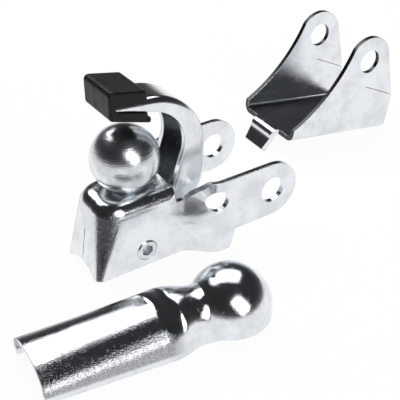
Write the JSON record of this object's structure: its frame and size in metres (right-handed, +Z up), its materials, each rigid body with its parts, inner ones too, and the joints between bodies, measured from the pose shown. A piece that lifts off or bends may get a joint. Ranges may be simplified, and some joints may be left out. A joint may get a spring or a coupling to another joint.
{
  "type": "bicycle trailer coupling",
  "caption": "Zinc-plated bicycle trailer coupling: a ball head with a sprung hook and black grip, a folded seat-post clamp bracket and a pressed drawbar socket.",
  "frame": {"origin": "middle of the set's footprint, on the table it lies on", "axes": "+X from the head's ball towards its clamp ears, +Y across the head, +Z up"},
  "size_m": [0.207, 0.119, 0.0701],
  "materials": {
    "zinc_sheet": "bright zinc plate",
    "turned_ball": "turned and zinc plated",
    "fastener": "zinc plate",
    "spring_wire": "drawn wire",
    "grip_plastic": "fine moulded grain"
  },
  "bodies": {
    "head": {"head_body": "zinc_sheet", "coupling_ball": "turned_ball", "ball_washer": "fastener", "ball_nut": "fastener", "pivot_bolt": "fastener", "pivot_nut": "fastener", "near_spacer": "fastener", "far_spacer": "fastener", "hook_spring": "spring_wire", "clamp_bracket": "zinc_sheet", "drawbar_socket": "zinc_sheet"},
    "hook": {"hook_lever": "zinc_sheet", "hook_grip": "grip_plastic"}
  },
  "joints": [
    {"name": "hook_hinge", "type": "hinge", "parent": "head", "child": "hook", "pos_m": [-0.04368, 0.00652, 0.0066], "axis": [0, 1, 0], "range_deg": [0, 50], "stiffness_Nm_per_rad": 0.3, "springref_deg": -34.38, "deforming": ["hook_spring"]}
  ]
}
